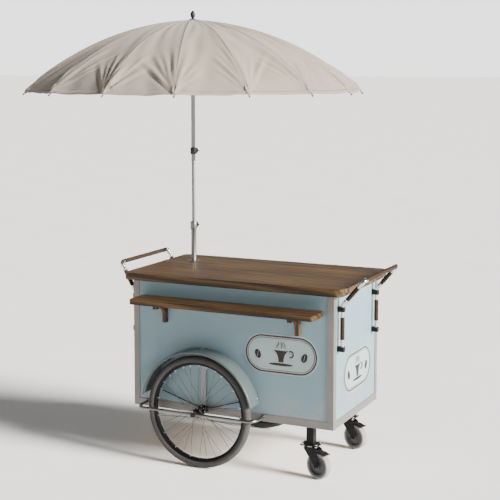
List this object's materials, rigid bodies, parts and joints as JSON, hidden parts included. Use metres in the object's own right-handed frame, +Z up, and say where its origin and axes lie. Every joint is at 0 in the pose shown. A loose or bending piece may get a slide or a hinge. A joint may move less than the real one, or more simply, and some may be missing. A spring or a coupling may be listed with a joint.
{
  "type": "push vending cart",
  "caption": "Wheeled vending cabinet with a wooden counter and customer shelf, spoked side wheels, braked swivel casters, end push handles and a height-adjustable round parasol.",
  "frame": {"origin": "on the ground under the middle of the cart's outline, parasol included", "axes": "+Z up, +X toward the caster end, -Y toward the customer side"},
  "size_m": [2.2085, 1.955, 2.46],
  "materials": {
    "panel_paint": "exterior board, satin pale blue paint",
    "trim_aluminium": "satin anodised",
    "ply": "sealed plywood",
    "counter_wood": "oiled hardwood boards",
    "badge_print": "printed plate",
    "fender_paint": "satin grey-blue paint",
    "black_steel": "black powder coat",
    "grey_bar": "grey paint",
    "polished_tube": "polished",
    "grip": "dark wrap",
    "tyre_rubber": "grey rubber",
    "rim_black": "gloss black",
    "spoke_steel": "bright steel",
    "caster_core": "moulded nylon",
    "caster_tread": "pale non-marking rubber",
    "mast_metal": "brushed",
    "knob_plastic": "moulded plastic",
    "canopy_fabric": "sand coloured canvas",
    "rib_metal": "steel"
  },
  "bodies": {
    "cart": {"base_frame": "trim_aluminium", "corner_posts": "trim_aluminium", "front_panel": "panel_paint", "back_panel": "panel_paint", "left_panel": "panel_paint", "right_panel": "panel_paint", "floor_panel": "ply", "inner_shelf": "ply", "countertop": "counter_wood", "front_shelf": "counter_wood", "shelf_brackets": "counter_wood", "front_emblem": "badge_print", "end_emblem": "badge_print", "front_fender": "fender_paint", "back_fender": "fender_paint", "fender_stays": "black_steel", "support_bars": "grey_bar", "front_guard": "polished_tube", "back_guard": "polished_tube", "axle": "polished_tube", "axle_nuts": "polished_tube", "left_handle": "polished_tube", "left_grips": "grip", "right_handle": "polished_tube", "right_grips": "grip", "handle_clamps": "black_steel", "caster_leg_front": "black_steel", "caster_leg_back": "black_steel", "caster_plate_front": "black_steel", "caster_plate_back": "black_steel", "door_hinges": "polished_tube", "mast_holder": "mast_metal"},
    "service_door": {"door": "panel_paint", "door_pull": "polished_tube", "door_leaves": "polished_tube"},
    "front_wheel": {"tyre_front": "tyre_rubber", "rim_front": "rim_black", "spokes_front": "spoke_steel", "hub_front": "rim_black"},
    "back_wheel": {"tyre_back": "tyre_rubber", "rim_back": "rim_black", "spokes_back": "spoke_steel", "hub_back": "rim_black"},
    "front_fork": {"fork_front": "black_steel"},
    "front_caster_wheel": {"caster_core_front": "caster_core", "caster_tread_front": "caster_tread"},
    "front_pedal": {"pedal_front": "black_steel"},
    "back_fork": {"fork_back": "black_steel"},
    "back_caster_wheel": {"caster_core_back": "caster_core", "caster_tread_back": "caster_tread"},
    "back_pedal": {"pedal_back": "black_steel"},
    "holder_knob": {"mast_knob": "knob_plastic"},
    "lower_pole": {"mast": "mast_metal"},
    "parasol": {"upper_tube": "mast_metal", "height_collar": "knob_plastic", "canopy": "canopy_fabric", "ribs": "rib_metal", "struts": "rib_metal", "finial": "knob_plastic"},
    "collar_knob": {"height_knob": "knob_plastic"}
  },
  "joints": [
    {"name": "service_door_swing", "type": "hinge", "parent": "cart", "child": "service_door", "pos_m": [0.865, 0.152, 0.65], "axis": [0, 0, -1], "range_deg": [0, 110]},
    {"name": "front_wheel_spin", "type": "hinge", "parent": "cart", "child": "front_wheel", "pos_m": [0.205, -0.582, 0.305], "axis": [0, 1, 0], "continuous": true},
    {"name": "back_wheel_spin", "type": "hinge", "parent": "cart", "child": "back_wheel", "pos_m": [0.205, 0.212, 0.305], "axis": [0, 1, 0], "continuous": true},
    {"name": "front_caster_swivel", "type": "hinge", "parent": "cart", "child": "front_fork", "pos_m": [0.804, -0.46, 0.166], "axis": [0, 0, 1], "continuous": true},
    {"name": "front_caster_roll", "type": "hinge", "parent": "front_fork", "child": "front_caster_wheel", "pos_m": [0.85181, -0.47462, 0.07], "axis": [0.2924, 0.9563, 0], "continuous": true},
    {"name": "front_brake_press", "type": "hinge", "parent": "front_fork", "child": "front_pedal", "pos_m": [0.84608, -0.47286, 0.148], "axis": [0.2924, 0.9563, 0], "range_deg": [0, 7]},
    {"name": "back_caster_swivel", "type": "hinge", "parent": "cart", "child": "back_fork", "pos_m": [0.804, 0.09, 0.166], "axis": [0, 0, 1], "continuous": true},
    {"name": "back_caster_roll", "type": "hinge", "parent": "back_fork", "child": "back_caster_wheel", "pos_m": [0.85181, 0.07538, 0.07], "axis": [0.2924, 0.9563, 0], "continuous": true},
    {"name": "back_brake_press", "type": "hinge", "parent": "back_fork", "child": "back_pedal", "pos_m": [0.84608, 0.07714, 0.148], "axis": [0.2924, 0.9563, 0], "range_deg": [0, 7]},
    {"name": "holder_knob_turn", "type": "hinge", "parent": "cart", "child": "holder_knob", "pos_m": [-0.13, 0.03, 1.223], "axis": [0, 1, 0], "range_deg": [0, 720]},
    {"name": "parasol_turn", "type": "hinge", "parent": "cart", "child": "lower_pole", "pos_m": [-0.13, 0, 1.2], "axis": [0, 0, 1], "range_deg": [-180, 180]},
    {"name": "parasol_height", "type": "slide", "parent": "lower_pole", "child": "parasol", "axis": [0, 0, 1], "range_m": [-0.25, 0.15]},
    {"name": "collar_knob_turn", "type": "hinge", "parent": "parasol", "child": "collar_knob", "pos_m": [-0.13, 0.03, 1.6565], "axis": [0, 1, 0], "range_deg": [0, 720]}
  ]
}
